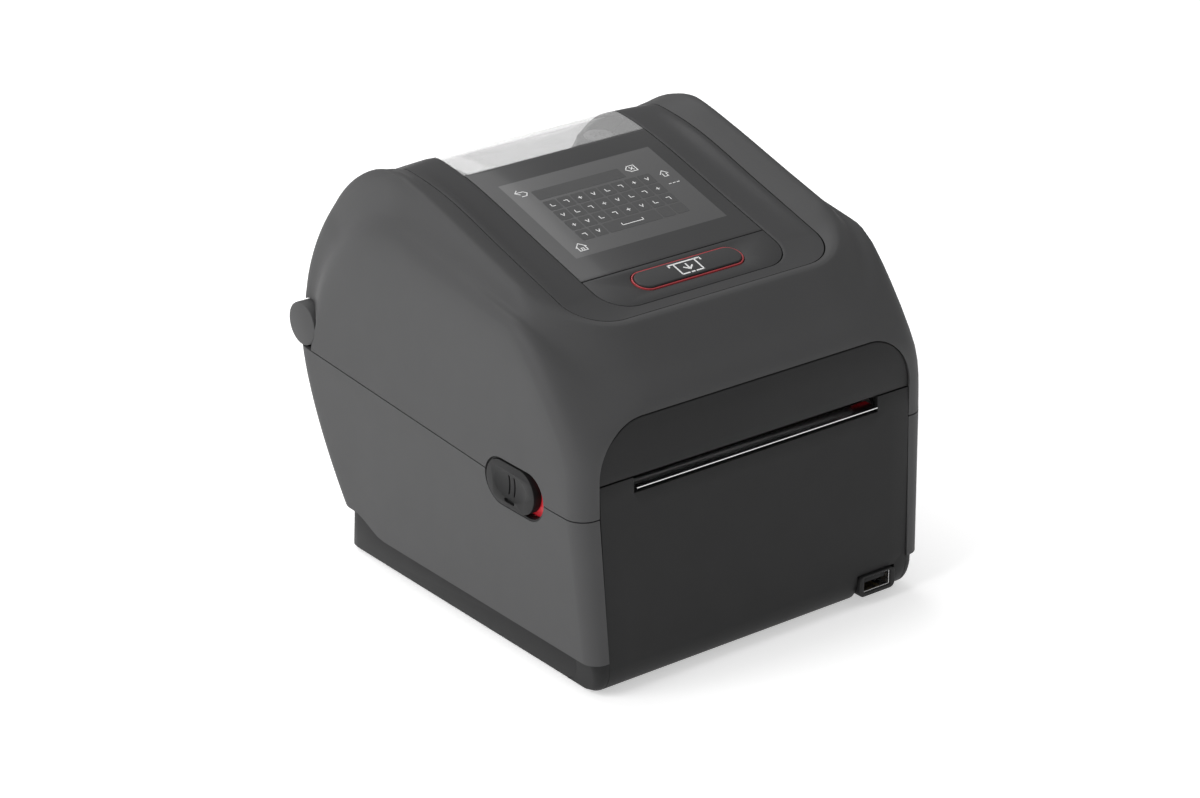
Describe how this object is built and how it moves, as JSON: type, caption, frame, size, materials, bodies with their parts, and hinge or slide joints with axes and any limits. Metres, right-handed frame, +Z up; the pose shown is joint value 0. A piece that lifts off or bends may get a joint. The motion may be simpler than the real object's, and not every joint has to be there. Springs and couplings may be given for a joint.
{
  "type": "desktop label printer",
  "caption": "Desktop direct-thermal label printer: hinged cover with touch screen and clear window, side latches, platen drive and roll holders inside.",
  "frame": {"origin": "on the ground, under the middle of the printer's box", "axes": "+X to the right of someone facing the front, +Y from front to back, +Z up"},
  "size_m": [0.171, 0.195, 0.1699],
  "materials": {
    "housing_grey": "fine-grained matt moulded plastic, dark grey",
    "trim_grey": "satin moulded plastic, slightly darker grey",
    "panel_black": "satin near-black moulded plastic",
    "base_dark": "matt near-black moulded plastic",
    "inner_dark": "matt charcoal moulded plastic",
    "display_glass": "smoked cover glass, soft gloss",
    "screen": "lit grey screen",
    "window_clear": "clear polycarbonate",
    "signal_red": "translucent red",
    "sheet_metal": "zinc-plated sheet",
    "head_aluminium": "milled heat sink",
    "motor_steel": "stamped motor can",
    "polished_steel": "ground and polished",
    "brass": "machined",
    "nylon_white": "natural nylon",
    "rubber": "matt black",
    "board_green": "solder-masked circuit board"
  },
  "bodies": {
    "base": {"lower_housing": "housing_grey", "bottom_tray": "base_dark", "front_panel_lower": "panel_black", "tear_bar": "polished_steel", "rubber_foot_1": "rubber", "rubber_foot_2": "rubber", "rubber_foot_3": "rubber", "rubber_foot_4": "rubber", "main_board": "board_green", "rear_io_plate": "panel_black", "dc_inlet": "panel_black", "usb_device_port": "sheet_metal", "ethernet_port": "sheet_metal", "usb_bezel": "panel_black", "usb_host_port": "sheet_metal", "hinge_barrel": "inner_dark", "media_tray": "inner_dark", "chassis_plate_left": "sheet_metal", "chassis_plate_right": "sheet_metal", "platen_bearing_left": "nylon_white", "platen_bearing_right": "nylon_white", "stepper_motor": "motor_steel", "idler_stud": "polished_steel"},
    "cover": {"cover_shell": "housing_grey", "cover_trim": "trim_grey", "display_glass": "display_glass", "media_window": "window_clear", "control_panel": "trim_grey", "light_ring": "signal_red", "cover_board": "board_green", "display_module": "screen", "cover_liner": "inner_dark", "cover_back_panel": "housing_grey", "head_bracket": "sheet_metal", "catch_left": "sheet_metal", "catch_right": "sheet_metal", "hinge_ear_left": "housing_grey", "hinge_ear_right": "housing_grey", "front_panel_upper": "panel_black"},
    "print_head_unit": {"print_head": "head_aluminium"},
    "feed_button_unit": {"feed_button": "trim_grey"},
    "power_button_unit": {"power_button": "panel_black"},
    "latch_left": {"latch_button_left": "panel_black", "latch_hook_left": "signal_red"},
    "latch_right": {"latch_button_right": "panel_black", "latch_hook_right": "signal_red"},
    "motor_pinion_unit": {"motor_pinion": "brass"},
    "idler_unit": {"idler_gear": "nylon_white"},
    "platen_unit": {"platen_roller": "rubber", "platen_shaft": "polished_steel", "platen_gear": "nylon_white"},
    "guide_left": {"media_guide_left": "inner_dark"},
    "guide_right": {"media_guide_right": "inner_dark"},
    "hub_left": {"roll_hub_left": "base_dark"},
    "hub_right": {"roll_hub_right": "base_dark"},
    "guide_pinion_unit": {"guide_pinion": "nylon_white"},
    "gap_sensor_unit": {"gap_sensor": "panel_black"}
  },
  "joints": [
    {"name": "cover_hinge", "type": "hinge", "parent": "base", "child": "cover", "pos_m": [0, 0.0885, 0.0944], "axis": [-1, 0, 0], "range_deg": [0, 95]},
    {"name": "print_head_float", "type": "slide", "parent": "cover", "child": "print_head_unit", "axis": [0, 0, 1], "range_m": [0, 0.0014], "stiffness_N_per_m": 3000},
    {"name": "feed_button_press", "type": "slide", "parent": "cover", "child": "feed_button_unit", "axis": [0, 0.2746, -0.9616], "range_m": [0, 0.0008], "stiffness_N_per_m": 1200},
    {"name": "power_button_press", "type": "slide", "parent": "base", "child": "power_button_unit", "axis": [0, -1, 0], "range_m": [0, 0.0015], "stiffness_N_per_m": 1200},
    {"name": "latch_left_slide", "type": "slide", "parent": "base", "child": "latch_left", "axis": [0, -1, 0], "range_m": [0, 0.0045], "stiffness_N_per_m": 400},
    {"name": "latch_right_slide", "type": "slide", "parent": "base", "child": "latch_right", "axis": [0, -1, 0], "range_m": [0, 0.0045], "stiffness_N_per_m": 400},
    {"name": "motor_spin", "type": "hinge", "parent": "base", "child": "motor_pinion_unit", "pos_m": [0, -0.0635, 0.041], "axis": [1, 0, 0], "continuous": true},
    {"name": "idler_spin", "type": "hinge", "parent": "base", "child": "idler_unit", "pos_m": [0, -0.06354, 0.058], "axis": [1, 0, 0], "continuous": true},
    {"name": "platen_spin", "type": "hinge", "parent": "base", "child": "platen_unit", "pos_m": [0, -0.0775, 0.075], "axis": [1, 0, 0], "continuous": true},
    {"name": "guide_left_slide", "type": "slide", "parent": "base", "child": "guide_left", "axis": [1, 0, 0], "range_m": [-0.017, 0.029]},
    {"name": "guide_right_slide", "type": "slide", "parent": "base", "child": "guide_right", "axis": [-1, 0, 0], "range_m": [-0.017, 0.029]},
    {"name": "guide_pinion_spin", "type": "hinge", "parent": "base", "child": "guide_pinion_unit", "pos_m": [0, 0.0155, 0.0148], "axis": [0, 0, 1], "range_deg": [-276.93, 162.34]},
    {"name": "hub_left_spin", "type": "hinge", "parent": "guide_left", "child": "hub_left", "pos_m": [-0.042, 0.0155, 0.086], "axis": [1, 0, 0], "continuous": true},
    {"name": "hub_right_spin", "type": "hinge", "parent": "guide_right", "child": "hub_right", "pos_m": [0.042, 0.0155, 0.086], "axis": [1, 0, 0], "continuous": true},
    {"name": "gap_sensor_slide", "type": "slide", "parent": "base", "child": "gap_sensor_unit", "axis": [1, 0, 0], "range_m": [-0.05, 0.02]}
  ],
  "couplings": [
    {"joint": "idler_spin", "follows": "platen_spin", "ratio": -0.83333},
    {"joint": "motor_spin", "follows": "platen_spin", "ratio": 2},
    {"joint": "guide_right_slide", "follows": "guide_left_slide", "ratio": 1},
    {"joint": "guide_pinion_spin", "follows": "guide_left_slide", "rad_per_m": -166.67}
  ]
}
